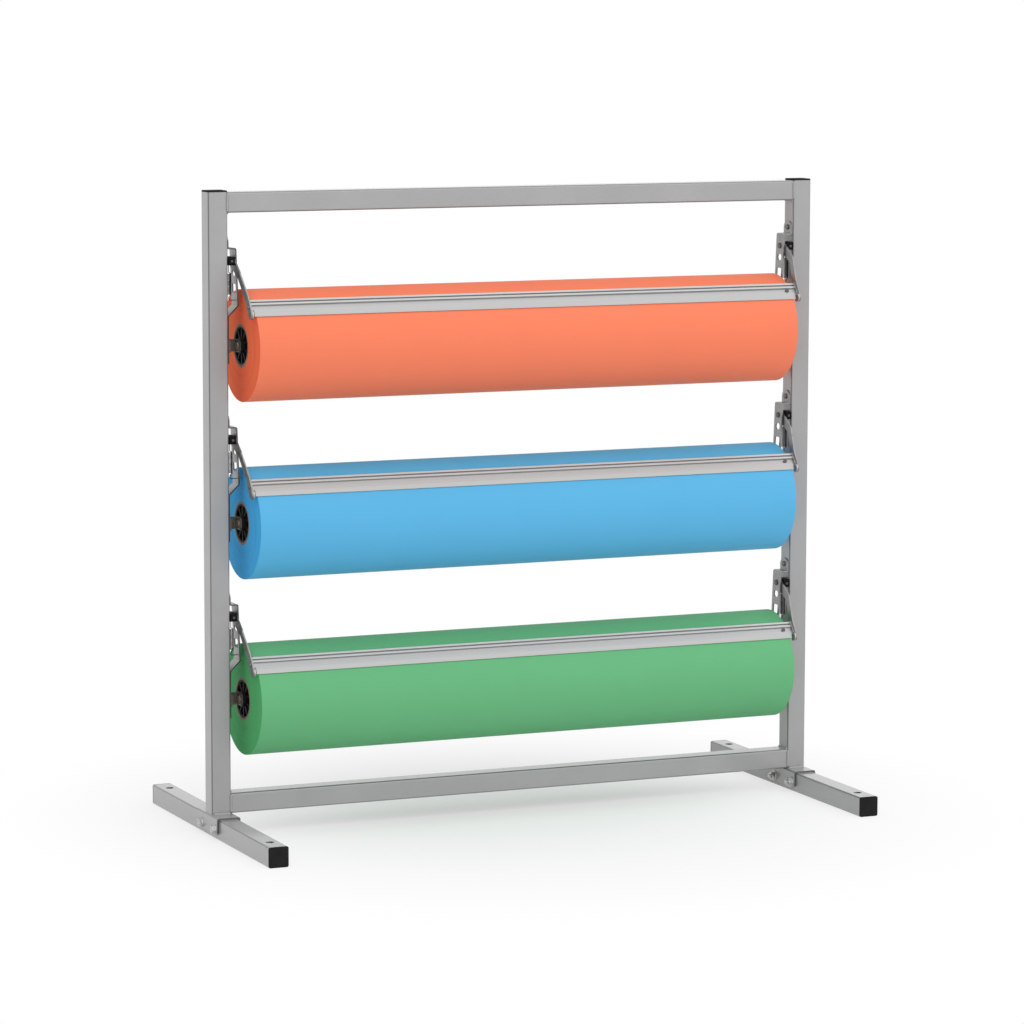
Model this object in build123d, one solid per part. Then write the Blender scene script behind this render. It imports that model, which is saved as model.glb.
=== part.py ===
from build123d import *
import math
import os

# A floor rack for three wide paper rolls, one above the other, each with a sprung tear-off bar.
# X runs across the rack, Y from front to back and Z up. The origin is on the floor, under the middle.
# Lengths are in millimetres and angles in degrees.

# Rolls and decks
deck_names = ("lower", "middle", "upper")
roll_length = 914.4
paper_radius = 86.6
core_radius = 33.5
core_wall = 3.2
wound_clearance = 0.1  # between the core and the first wrap of paper
lowest_axis = 210.0  # height of the lowest roll's axis
deck_pitch = 274.6  # from one roll's axis to the next
head_room = 236.4  # from the top roll's axis to the cut end of an upright
roll_end_gap = 25.4  # from a roll's end to the inner face of the upright

# Frame tubes
tube_side = 31.75
tube_wall = 2.0
tube_corner = 3.0
foot_length = 533.2  # cut length, without the caps
floor_hole_radius = 6.5
floor_hole_inset = 36.0  # from the cut end of a foot

# Plastic caps of the tubes
cap_flange = 2.4
cap_edge = 0.8
cap_depth = 12.0
cap_wall = 1.8
cap_clearance = 0.15

# Saddles between the uprights and the feet
saddle_plate = 3.0
saddle_length = 96.0
saddle_drop = 23.0  # how far the side plates reach down the foot
saddle_corner = 5.0
saddle_clearance = 0.2

# Saddle bolts
bolt_radius = 4.0
bolt_clearance = 0.3
bolt_front = 34.5  # in front of the upright's middle
bolt_back = 25.0
bolt_head_flats = 13.0
bolt_head_height = 5.3
bolt_flange_radius = 7.8
bolt_flange = 1.2
nut_flange_radius = 8.5
nut_flange = 1.5
nut_height = 6.5
bolt_tail = 4.0  # thread past the nut

# Brackets: one strip each, ear and foot on the upright, standing off between
bracket_width = 26.0
bracket_strip = 2.0
bracket_standoff = 13.0
bracket_bend = 1.0  # inside radius
bracket_lean = 2.1  # degrees, the plate's lower end towards the roll
ear_height = 20.0
ear_round = 12.0
web_above_pivot = 20.0
joggle_below_pivot = 69.0
bracket_below_axis = 26.0
oval_width = 14.0
oval_height = 10.5
oval_drop = 18.5  # below the pivot
slot_width = 15.5
slot_height = 14.6
slot_corner = 2.0
slot_drop = 43.0
cut_margin = 1.0  # how far a hole's cutter stands out of the sheet

# Screws that hold the brackets and the roll holders to the uprights
screw_radius = 2.5
screw_head_radius = 4.2
screw_head = 2.6
screw_length = 10.0
screw_clearance = 0.1
holder_screw_spread = 10.4
holder_screw_front = 2.0  # in front of the roll's axis

# Pivots of the swing arms
pivot_rise = 131.0  # above the roll's axis
pivot_radius = 3.0
pivot_head_radius = 4.6
pivot_head = 1.4
rivet_clearance = 0.05
running_clearance = 0.06
side_clearance = 0.3
block_front = 18.0  # in front of the pivot
block_back = 12.0
block_height = 12.5
block_corner = 2.5

# Swing arms: eye at the pivot, elbow in front of it, tip at the tear edge
arm_sheet = 2.2
arm_eye_radius = 9.7
arm_radius = 6.0
arm_tip_radius = 7.0
arm_tip_drop = 4.5  # below the bar's line of contact
elbow_reach = 33.7
elbow_drop = 20.1
crank_start = 2.0  # below the elbow, where the arm starts to lean towards the roll
crank_run = 40.0  # along the arm, until it lies against the bar's end plate
arm_to_roll = 7.8  # from the arm's inner face to the roll's end

# Cutter bar and blade: distances along the bar are from its line of contact, upwards
paper_gap = 0.4
contact_angle = 50.0  # from the top of the roll, towards the front
bar_sheet = 1.5
bar_reach = 21.2
bar_foot = 1.0  # below the line of contact
bar_rib_width = 3.8
bar_rib_height = 4.0
bar_rib_gap = 2.2
bar_rib_round = 0.6
end_plate = 2.0
end_plate_height = 5.0
end_plate_round = 7.0  # its rounded end, behind the arm's tip
blade_sheet = 1.2
blade_top = 4.2
blade_edge = 8.0  # below the line of contact
blade_edge_lift = 0.2
blade_edge_sheet = 0.5
blade_inset = 5.0  # from the end of the bar

# Screws of the cutter
small_screw_radius = 2.0
small_head_radius = 3.5
small_head = 2.2
small_head_round = 0.8
small_clearance = 0.05
arm_screw_reach = 8.0
arm_screw_lift = 2.5
clamp_screw_reach = 6.8  # just above the blade, its head over the blade's upper edge
clamp_screw_inset = 12.0
clamp_screw_radius = 1.5
clamp_collar_radius = 1.8
clamp_head_radius = 3.0
clamp_head = 1.4
clamp_head_round = 0.6
clamp_screw_shy = 0.2  # how far the tip stays inside the bar
block_screw_radius = 1.2
block_screw_length = 8.0
block_head_radius = 2.0
block_head = 1.2
block_head_round = 0.5

# Tension springs
spring_turns = 18
spring_pitch = 1.8
spring_radius = 3.9  # of the wire's centre line
spring_wire = 0.6  # radius of the wire
spring_front = 3.0  # in front of the pivot
spring_top_run = 4.0  # from the coil to the straight end, along the axis
spring_bottom_run = 4.0
spring_top_leg = 9.25
spring_bend = 2.5
spring_straight = 2.0
spring_samples = 12  # points on each arc for the gap to itself

# Roll holders, stub axles and core plugs
holder_sheet = 2.5
holder_height = 19.0
holder_gap = 2.9  # from its plate to the roll's end
holder_back = 13.0
holder_foot_front = 12.0
holder_plate_front = 9.5
holder_bend = 0.5
holder_round = 6.0
axle_radius = 6.0
axle_neck_radius = 4.0
axle_head_radius = 5.5
axle_head = 2.0
axle_length = 30.0
plug_length = 28.0
plug_recess = 1.0
plug_ring = 2.6
plug_hub_radius = 12.0
plug_ribs = 10
plug_rib = 2.2
plug_web = 2.0
plug_clearance = 0.1
plug_end_gap = 0.5  # from the hub to the holder's plate

# Places that follow from the sizes
inner_face = roll_length / 2 + roll_end_gap
upright_x = inner_face + tube_side / 2
deck_axes = [lowest_axis + index * deck_pitch for index in range(len(deck_names))]
upright_top = deck_axes[-1] + head_room
upright_bottom = tube_side + saddle_plate
floor_hole_y = foot_length / 2 - floor_hole_inset
bolt_places = (-bolt_front, bolt_back)
saddle_half = tube_side / 2 + saddle_clearance
web_top = pivot_rise + web_above_pivot
ear_top = web_top + ear_height
ear_screw_z = web_top + ear_height / 2
holder_screw_z = holder_screw_spread / 2
plate_inner = bracket_standoff + bracket_strip
arm_outer = bracket_standoff - side_clearance - arm_sheet
arm_low_outer = roll_end_gap - arm_to_roll - arm_sheet
holder_inner = roll_end_gap - holder_gap
contact_radius = paper_radius + paper_gap
along_y = -math.cos(math.radians(contact_angle))
along_z = -math.sin(math.radians(contact_angle))
contact_y = contact_radius * along_z
contact_z = -contact_radius * along_y
bar_half = inner_face - roll_end_gap + arm_to_roll


def rod(start, end, radius):
    """A round bar between the centres of its two ends."""
    direction = Vector(*end) - Vector(*start)
    return Solid.make_cylinder(radius, direction.length, Plane(origin=start, z_dir=direction))


def side_rod(depth_a, depth_b, y, z, radius):
    """A bar along X at the right upright, between two depths inwards from its inner face."""
    return rod((inner_face - depth_a, y, z), (inner_face - depth_b, y, z), radius)


def side_plane(depth, z):
    """A plane facing inwards at the right upright, whose own axes run back and up."""
    return Plane(origin=(inner_face - depth, 0, z), x_dir=(0, 1, 0), z_dir=(-1, 0, 0))


def mirrored(shape):
    return mirror(shape, about=Plane.YZ)


def both_sides(shapes):
    return shapes + [mirrored(shape) for shape in shapes]


def tube(length):
    """A square tube standing on the origin."""
    hole_side = tube_side - 2 * tube_wall
    section = RectangleRounded(tube_side, tube_side, tube_corner)
    section -= RectangleRounded(hole_side, hole_side, tube_corner - tube_wall)
    return extrude(section, length)


def cap():
    """A push-in cap whose flange stands on the origin, with its open insert hanging below."""
    side = tube_side - 2 * (tube_wall + cap_clearance)
    corner = tube_corner - tube_wall
    flange = extrude(RectangleRounded(tube_side, tube_side, tube_corner), cap_flange)
    flange = fillet(flange.faces().sort_by(Axis.Z)[-1].edges(), cap_edge)
    section = RectangleRounded(side, side, corner)
    section -= Rectangle(side - 2 * cap_wall, side - 2 * cap_wall)
    return flange + extrude(section, -cap_depth)


def frame_tubes():
    upright = Pos(upright_x, 0, upright_bottom) * tube(upright_top - upright_bottom)
    for axis in deck_axes:
        hole = pivot_radius + rivet_clearance
        upright -= side_rod(tube_wall, -tube_wall, 0, axis + pivot_rise, hole)
        for y, z in screw_places():
            upright -= side_rod(tube_wall, -tube_wall, y, axis + z, screw_radius + screw_clearance)
    bar = Pos(-inner_face, 0, 0) * Rot(0, 90, 0) * tube(2 * inner_face)
    foot = Pos(upright_x, -foot_length / 2, tube_side / 2) * Rot(-90, 0, 0) * tube(foot_length)
    for y in (-floor_hole_y, floor_hole_y):
        foot -= rod((upright_x, y, -tube_wall), (upright_x, y, tube_side + tube_wall), floor_hole_radius)
    for y in bolt_places:
        foot -= bolt_hole(y)
    return {
        "right_upright": upright,
        "left_upright": mirrored(upright),
        "top_bar": Pos(0, 0, upright_top - tube_side / 2) * bar,
        "bottom_bar": Pos(0, 0, upright_bottom + tube_side / 2) * bar,
        "right_foot": foot,
        "left_foot": mirrored(foot),
    }


def screw_places():
    """Where the bracket's ear and the roll holder are screwed on, from the roll's axis."""
    return [
        (0, ear_screw_z),
        (-holder_screw_front, holder_screw_z),
        (-holder_screw_front, -holder_screw_z),
    ]


def bolt_hole(y):
    reach = tube_side / 2 + saddle_clearance + 2 * saddle_plate
    height = tube_side / 2
    radius = bolt_radius + bolt_clearance
    return rod((upright_x - reach, y, height), (upright_x + reach, y, height), radius)


def saddle():
    """A plate folded over the foot, under the upright."""
    half = saddle_half + saddle_plate
    low = tube_side - saddle_drop
    outline = [
        (-half, low),
        (-half, upright_bottom),
        (half, upright_bottom),
        (half, low),
        (saddle_half, low),
        (saddle_half, tube_side),
        (-saddle_half, tube_side),
        (-saddle_half, low),
    ]
    radii = [0, saddle_plate, saddle_plate, 0, 0, 0, 0, 0]
    section = make_face(FilletPolyline(*outline, radius=radii, close=True))
    body = extrude(Plane.XZ * section, saddle_length / 2, both=True)
    low_edges = body.edges().filter_by(Axis.X).group_by(Axis.Z)[0]
    body = Pos(upright_x, 0, 0) * fillet(low_edges, saddle_corner)
    for y in bolt_places:
        body -= bolt_hole(y)
    return body


def saddle_fasteners():
    """Bolts with their heads outside and flange nuts inside, for the right foot."""
    bolts = []
    nuts = []
    face = saddle_half + saddle_plate
    nut_end = upright_x - face - nut_height
    for y in bolt_places:
        place = (upright_x + face, y, tube_side / 2)
        hexagon = RegularPolygon(bolt_head_flats / 2, 6, major_radius=False)
        head = extrude(Plane(origin=place, z_dir=(1, 0, 0)) * hexagon, bolt_head_height)
        head += rod(place, (place[0] + bolt_flange, y, place[2]), bolt_flange_radius)
        bolts.append(head + rod(place, (nut_end - bolt_tail, y, place[2]), bolt_radius))
        seat = (upright_x - face, y, place[2])
        nut = extrude(Plane(origin=seat, z_dir=(-1, 0, 0)) * hexagon, nut_height)
        nut += rod(seat, (seat[0] - nut_flange, y, seat[2]), nut_flange_radius)
        nuts.append(nut - rod(seat, (nut_end, y, seat[2]), bolt_radius + rivet_clearance))
    return bolts, nuts


def tube_caps():
    upright_cap = Pos(upright_x, 0, upright_top) * cap()
    foot_end = Pos(upright_x, -foot_length / 2, tube_side / 2) * Rot(90, 0, 0) * cap()
    return both_sides([upright_cap]), both_sides([foot_end, mirror(foot_end, about=Plane.XZ)])


def lean(z):
    """How far the bracket's plate leans towards the roll at a height: nothing at the top of the arm's eye."""
    return (pivot_rise + arm_eye_radius - z) * math.tan(math.radians(bracket_lean))


def bracket():
    outer_bend = bracket_bend + bracket_strip
    slant = bracket_strip * (math.sqrt(2) - 1)
    joggle_top = pivot_rise - joggle_below_pivot
    joggle_low = joggle_top - bracket_standoff - lean(joggle_top)
    outline = [
        ((0, ear_top), 0),
        ((bracket_strip, ear_top), 0),
        ((bracket_strip, web_top), bracket_bend),
        ((plate_inner + lean(web_top), web_top), outer_bend),
        ((plate_inner + lean(joggle_top), joggle_top), outer_bend),
        ((bracket_strip, joggle_low), bracket_bend),
        ((bracket_strip, -bracket_below_axis), 0),
        ((0, -bracket_below_axis), 0),
        ((0, joggle_low + slant), outer_bend),
        ((bracket_standoff + lean(joggle_top), joggle_top + slant), bracket_bend),
        ((bracket_standoff + lean(web_top), web_top - bracket_strip), bracket_bend),
        ((0, web_top - bracket_strip), outer_bend),
    ]
    points = [(inner_face - depth, z) for (depth, z), radius in outline]
    section = make_face(FilletPolyline(*points, radius=[radius for place, radius in outline], close=True))
    body = extrude(Plane.XZ * section, bracket_width / 2, both=True)
    body = fillet(body.edges().filter_by(Axis.X).group_by(Axis.Z)[-1], ear_round)
    far_side = plate_inner + lean(pivot_rise) + cut_margin
    body -= side_rod(arm_outer, far_side, 0, pivot_rise, pivot_radius + rivet_clearance)
    oval = side_plane(arm_outer, pivot_rise - oval_drop)
    body -= extrude(oval * SlotOverall(oval_width, oval_height), bracket_standoff)
    slot = side_plane(arm_outer, pivot_rise - slot_drop)
    body -= extrude(slot * RectangleRounded(slot_width, slot_height, slot_corner), bracket_standoff)
    for y, z in screw_places():
        body -= side_rod(-cut_margin, bracket_strip + cut_margin, y, z, screw_radius + screw_clearance)
    return body


def bracket_screws():
    """Pan-head screws: one in the ear, two in the roll holder's foot."""
    screws = []
    for index, (y, z) in enumerate(screw_places()):
        seat = bracket_strip if index == 0 else bracket_strip + holder_sheet
        head = side_rod(seat, seat + screw_head, y, z, screw_head_radius)
        rim = head.edges().filter_by(GeomType.CIRCLE).sort_by(Axis.X)[0]
        head = fillet(rim, screw_head / 2)
        screws.append(head + side_rod(seat, seat - screw_length, y, z, screw_radius))
    return screws


def pivot_pin():
    seat = plate_inner + lean(pivot_rise - pivot_head_radius)
    pin = side_rod(-tube_wall, seat, 0, pivot_rise, pivot_radius)
    pin += side_rod(seat, seat + pivot_head, 0, pivot_rise, pivot_head_radius)
    return pin + side_rod(-tube_wall, -tube_wall - pivot_head, 0, pivot_rise, pivot_head_radius)


def pivot_block():
    face = side_plane(side_clearance, pivot_rise)
    section = RectangleRounded(block_front + block_back, block_height, block_corner)
    section = Pos((block_back - block_front) / 2, 0) * section
    block = extrude(face * section, arm_outer - side_clearance)
    block -= side_rod(0, arm_outer, 0, pivot_rise, pivot_radius + running_clearance)
    return block - block_screw_shank(block_screw_radius + small_clearance)


def block_screw_shank(radius):
    x = inner_face - (side_clearance + arm_outer) / 2
    tip = block_screw_length - block_front
    return rod((x, -block_front, pivot_rise), (x, tip, pivot_rise), radius)


def bar_place(reach, lift):
    """A point of the bar's section: distance up along the bar, and out from the contact plane."""
    return (contact_y - reach * along_y + lift * along_z, contact_z - reach * along_z - lift * along_y)


def bar_section(points):
    """A closed section in the plane across the bar, from (reach, lift) corners."""
    return Plane.YZ * make_face(Polyline(*[bar_place(*point) for point in points], close=True))


def swing_arm():
    """A flat lever with an eye, an elbow and a tip, leaning inwards below the elbow."""
    elbow = (-elbow_reach, pivot_rise - elbow_drop)
    tip = bar_place(-arm_tip_drop, 0)
    eye = Pos(0, pivot_rise) * Circle(arm_eye_radius)
    bend = Pos(*elbow) * Circle(arm_radius)
    end = Pos(*tip) * Circle(arm_tip_radius)
    outline = make_hull(eye.edges() + bend.edges()) + make_hull(bend.edges() + end.edges())
    level = pivot_rise + block_height / 2
    above = Pos(0, level + arm_eye_radius) * Rectangle(elbow_reach, 2 * arm_eye_radius)
    outline -= above  # the eye is cut level with the pivot block
    inner_edge = inner_face - arm_low_outer - arm_sheet
    blank = extrude(Plane.YZ.offset(inner_edge) * outline, roll_end_gap)

    length = math.dist(elbow, tip)
    down_y = (tip[0] - elbow[0]) / length
    down_z = (tip[1] - elbow[1]) / length
    plane = Plane(
        origin=(inner_face, elbow[0], elbow[1]),
        x_dir=(0, down_y, down_z),
        z_dir=(0, -down_z, down_y),
    )
    crank_end = crank_start + crank_run
    side = [
        (-length, arm_outer),
        (crank_start, arm_outer),
        (crank_end, arm_low_outer),
        (2 * length, arm_low_outer),
        (2 * length, arm_low_outer + arm_sheet),
        (crank_end, arm_low_outer + arm_sheet),
        (crank_start, arm_outer + arm_sheet),
        (-length, arm_outer + arm_sheet),
    ]
    sheet = extrude(plane * make_face(Polyline(*side, close=True)), length, both=True)
    arm = blank & sheet
    arm -= side_rod(0, roll_end_gap, 0, pivot_rise, pivot_radius + running_clearance)
    return arm - arm_screw_shank(small_screw_radius + small_clearance)


def arm_screw_shank(radius):
    y, z = bar_place(arm_screw_reach, arm_screw_lift)
    return side_rod(arm_low_outer, arm_low_outer + arm_sheet + end_plate, y, z, radius)


def cutter_bar():
    """A formed strip with two ribs, and a plate across each end."""
    top_rib_end = bar_reach - bar_rib_width
    low_rib_start = top_rib_end - bar_rib_gap
    low_rib_end = low_rib_start - bar_rib_width
    section = bar_section([
        (-bar_foot, 0),
        (bar_reach, 0),
        (bar_reach, bar_rib_height),
        (top_rib_end, bar_rib_height),
        (top_rib_end, bar_sheet),
        (low_rib_start, bar_sheet),
        (low_rib_start, bar_rib_height),
        (low_rib_end, bar_rib_height),
        (low_rib_end, bar_sheet),
        (-bar_foot, bar_sheet),
    ])
    plate = bar_section([
        (-bar_foot, 0),
        (bar_reach, 0),
        (bar_reach, end_plate_height),
        (-bar_foot, end_plate_height),
    ])
    strip = extrude(section, bar_half - end_plate, both=True)
    strip -= clamp_screw_shank(clamp_screw_radius + small_clearance)
    rib_edges = (bar_reach, top_rib_end, low_rib_start, low_rib_end)
    edges = [edge_near(strip, bar_place(reach, bar_rib_height)) for reach in rib_edges]
    strip = fillet(edges, bar_rib_round)
    round_end = Plane.YZ * Pos(*bar_place(-arm_tip_drop, 0)) * Circle(end_plate_round)
    end = Pos(bar_half - end_plate, 0, 0)
    right_plate = extrude(end * plate, end_plate) + extrude(end * round_end, end_plate)
    right_plate -= arm_screw_shank(small_screw_radius + small_clearance)
    return [strip] + both_sides([right_plate])


def edge_near(shape, place):
    """The long edge along X whose ends lie at a point of the section."""
    target = Vector(0, *place)
    return min(shape.edges().filter_by(Axis.X), key=lambda edge: (edge.center() - target).length)


def tear_blade():
    """A flat strip on the bar whose tear edge bends in to the paper."""
    section = bar_section([
        (blade_top, bar_sheet),
        (-bar_foot, bar_sheet),
        (-blade_edge, blade_edge_lift),
        (-blade_edge, blade_edge_lift + blade_edge_sheet),
        (-bar_foot, bar_sheet + blade_sheet),
        (blade_top, bar_sheet + blade_sheet),
    ])
    return extrude(section, bar_half - blade_inset, both=True)


def clamp_place(lift):
    x = bar_half - blade_inset - clamp_screw_inset
    return (x, *bar_place(clamp_screw_reach, lift))


def clamp_screw_shank(radius):
    return rod(clamp_place(clamp_screw_shy), clamp_place(bar_sheet), radius)


def clamp_screw():
    """The screw at the blade's right end: a collar on the bar, and a head that holds the blade's edge."""
    seat = bar_sheet + blade_sheet
    collar = rod(clamp_place(bar_sheet), clamp_place(seat), clamp_collar_radius)
    shank = clamp_screw_shank(clamp_screw_radius) + collar
    outwards = (0, along_z, -along_y)
    return small_screw(shank, clamp_place(seat), outwards, clamp_head_radius, clamp_head, clamp_head_round)


def small_screw(shank, seat, outwards, radius=small_head_radius, height=small_head, edge=small_head_round):
    """A pan-head screw on a shank, its head standing outwards from its seat."""
    direction = Vector(*outwards)
    start = Vector(*seat)
    head = rod(tuple(start), tuple(start + direction * height), radius)
    rims = head.edges().filter_by(GeomType.CIRCLE)
    top = max(rims, key=lambda rim: (rim.arc_center - start).dot(direction))
    return fillet(top, edge) + shank


def cutter_screws():
    """On the right side: arm to bar, and in the front of the pivot block."""
    arm_y, arm_z = bar_place(arm_screw_reach, arm_screw_lift)
    arm_seat = (inner_face - arm_low_outer, arm_y, arm_z)
    block_seat = (inner_face - (side_clearance + arm_outer) / 2, -block_front, pivot_rise)
    block_shank = block_screw_shank(block_screw_radius)
    return [
        small_screw(arm_screw_shank(small_screw_radius), arm_seat, (1, 0, 0)),
        small_screw(block_shank, block_seat, (0, -1, 0), block_head_radius, block_head, block_head_round),
    ]


def biarc(start, start_way, end, end_way):
    """Two arcs that leave start and reach end along the given directions."""
    chord = end - start
    ways = start_way + end_way
    spread = 2 * (1 - start_way.dot(end_way))
    reach = (-chord.dot(ways) + math.sqrt(chord.dot(ways) ** 2 + spread * chord.dot(chord))) / spread
    first = start + start_way * reach
    second = end - end_way * reach
    middle = (first + second) / 2
    middle_way = (second - first).normalized()
    return [
        TangentArc(start, middle, tangent=start_way),
        TangentArc(middle, end, tangent=middle_way),
    ]


def spring(side):
    """A tension spring: a bent end at the bracket's plate, the coil, and a straight end at the block."""
    depth = (side_clearance + arm_outer) / 2
    axis = Vector(side * (inner_face - depth), -spring_front, 0)
    inwards = Vector(-side, 0, 0)
    up = Vector(0, 0, 1)
    coil_height = spring_turns * spring_pitch
    top = pivot_rise - block_height / 2
    coil_top = top - spring_top_leg - spring_top_run
    coil_low = coil_top - coil_height
    bend_top = coil_low - spring_bottom_run - spring_straight

    def coil_point(half_turns):
        angle = half_turns * math.pi
        height = coil_low + half_turns * spring_pitch / 2
        return axis + Vector(spring_radius * math.cos(angle), spring_radius * math.sin(angle), height)

    def coil_way(half_turns):
        angle = half_turns * math.pi
        rise = spring_pitch / (2 * math.pi)
        way = Vector(-spring_radius * math.sin(angle), spring_radius * math.cos(angle), rise)
        return way.normalized()

    hook = bend_top - spring_bend
    plate_end = Vector(side * (inner_face - bracket_standoff - lean(hook + spring_wire)), -spring_front, hook)
    bend_start = axis + inwards * spring_bend + up * (bend_top - spring_bend)
    bend_end = axis + up * bend_top
    rise_end = bend_end + up * spring_straight
    last = 2 * spring_turns
    edges = [Line(plate_end, bend_start)]
    edges.append(TangentArc(bend_start, bend_end, tangent=-inwards))
    edges.append(Line(bend_end, rise_end))
    edges += biarc(rise_end, up, coil_point(0), coil_way(0))
    for half in range(last):
        edges += biarc(coil_point(half), coil_way(half), coil_point(half + 1), coil_way(half + 1))
    leg_start = axis + up * (coil_top + spring_top_run)
    edges += biarc(coil_point(last), coil_way(last), leg_start, up)
    edges.append(Line(leg_start, axis + up * top))
    section = Plane(origin=plate_end, z_dir=-inwards) * Circle(spring_wire)
    return sweep(section, path=Wire(edges)), edges


def gap_to_itself(edges):
    """Least gap between parts of the wire that lie over half a turn apart along it."""
    points = []
    travelled = 0.0
    for edge in edges:
        for step in range(spring_samples):
            points.append((travelled + edge.length * step / spring_samples, edge @ (step / spring_samples)))
        travelled += edge.length
    apart = math.pi * spring_radius
    nearest = min(
        (place - other).length
        for index, (along, place) in enumerate(points)
        for further, other in points[index + 1:]
        if further - along > apart
    )
    return nearest - 2 * spring_wire


def roll_holder():
    """A strap bent to a C: foot on the bracket, leg at the back, plate in front of the roll's end."""
    foot = bracket_strip
    outer_bend = holder_bend + holder_sheet
    outline = [
        ((foot, -holder_foot_front), 0),
        ((foot, holder_back), outer_bend),
        ((holder_inner, holder_back), outer_bend),
        ((holder_inner, -holder_plate_front), 0),
        ((holder_inner - holder_sheet, -holder_plate_front), 0),
        ((holder_inner - holder_sheet, holder_back - holder_sheet), holder_bend),
        ((foot + holder_sheet, holder_back - holder_sheet), holder_bend),
        ((foot + holder_sheet, -holder_foot_front), 0),
    ]
    points = [(inner_face - depth, y) for (depth, y), radius in outline]
    section = make_face(FilletPolyline(*points, radius=[radius for place, radius in outline], close=True))
    strap = extrude(section, holder_height / 2, both=True)
    plate_x = inner_face - holder_inner + holder_sheet / 2
    front = [
        edge for edge in strap.edges().filter_by(Axis.X)
        if abs(edge.center().X - plate_x) < holder_sheet and edge.center().Y < 0
    ]
    strap = fillet(front, holder_round)
    strap -= side_rod(holder_inner - holder_sheet, holder_inner, 0, 0, axle_neck_radius + rivet_clearance)
    for y, z in screw_places()[1:]:
        strap -= side_rod(foot, foot + holder_sheet, y, z, screw_radius + screw_clearance)
    return strap


def stub_axle():
    neck_start = holder_inner - holder_sheet
    axle = side_rod(holder_inner, holder_inner + axle_length, 0, 0, axle_radius)
    axle += side_rod(neck_start, holder_inner, 0, 0, axle_neck_radius)
    return axle + side_rod(neck_start - axle_head, neck_start, 0, 0, axle_head_radius)


def core_plug():
    """A moulded plug in the core: ring, hub, radial ribs and a thin web at its inner end."""
    outside = core_radius - core_wall - plug_clearance
    front = roll_end_gap + plug_recess
    back = front + plug_length
    plug = side_rod(front, back, 0, 0, outside)
    plug -= side_rod(front, back - plug_web, 0, 0, outside - plug_ring)
    plug += side_rod(holder_inner + plug_end_gap, back, 0, 0, plug_hub_radius)
    rib_low = plug_hub_radius - plug_ring / 2
    rib_reach = outside - plug_ring / 2 - rib_low
    for index in range(plug_ribs):
        rib = Box(plug_length, plug_rib, rib_reach)
        rib = Pos(inner_face - (front + back) / 2, 0, rib_low + rib_reach / 2) * rib
        plug += Rot(index * 360 / plug_ribs, 0, 0) * rib
    return plug - side_rod(holder_inner, back, 0, 0, axle_radius + running_clearance)


def roll():
    half = roll_length / 2
    left = (-half, 0, 0)
    right = (half, 0, 0)
    core = rod(left, right, core_radius) - rod(left, right, core_radius - core_wall)
    paper = rod(left, right, paper_radius) - rod(left, right, core_radius + wound_clearance)
    return core, paper


def deck_pieces():
    """The pieces of one deck, with the roll's axis on the X axis."""
    right = {
        "bracket": bracket(),
        "roll_holder": roll_holder(),
        "arm": swing_arm(),
    }
    pieces = {}
    for name, piece in right.items():
        pieces["right_" + name] = piece
        pieces["left_" + name] = mirrored(piece)
    pieces["right_spring"], edges = spring(1)
    pieces["left_spring"], left_edges = spring(-1)
    least_gap = min(gap_to_itself(edges), gap_to_itself(left_edges))
    print("spring: least gap to itself", round(least_gap, 3), "mm")
    pieces["pivot_blocks"] = both_sides([pivot_block()])
    pieces["cutter_bar"] = cutter_bar()
    pieces["tear_blade"] = tear_blade()
    pieces["cutter_screws"] = both_sides(cutter_screws()) + [clamp_screw()]
    pieces["core_plugs"] = both_sides([core_plug()])
    pieces["core_tube"], pieces["paper_roll"] = roll()
    return pieces


def as_node(shape):
    """One solid, or a group of separate solids."""
    shapes = shape if isinstance(shape, list) else [shape]
    solids = [solid for item in shapes for solid in item.solids()]
    return solids[0] if len(solids) == 1 else Compound(solids)


def all_nodes():
    nodes = frame_tubes()
    nodes["right_saddle"] = saddle()
    nodes["left_saddle"] = mirrored(nodes["right_saddle"])
    bolts, nuts = saddle_fasteners()
    nodes["saddle_bolts"] = both_sides(bolts)
    nodes["saddle_nuts"] = both_sides(nuts)
    nodes["upright_caps"], nodes["foot_caps"] = tube_caps()
    shared = {
        "bracket_screws": both_sides(bracket_screws()),
        "pivot_pins": both_sides([pivot_pin()]),
        "stub_axles": both_sides([stub_axle()]),
    }
    for name, shapes in shared.items():
        nodes[name] = [Pos(0, 0, axis) * shape for axis in deck_axes for shape in shapes]
    pieces = deck_pieces()
    for deck, axis in zip(deck_names, deck_axes):
        for name, piece in pieces.items():
            shapes = piece if isinstance(piece, list) else [piece]
            nodes[f"{deck}_{name}"] = [Pos(0, 0, axis) * shape for shape in shapes]
    return nodes


os.makedirs("parts", exist_ok=True)
for node_name, node_shape in all_nodes().items():
    export_step(as_node(node_shape), f"parts/{node_name}.step")
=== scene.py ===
import bpy
import bmesh
import math
from mathutils import Matrix, Vector


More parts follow.
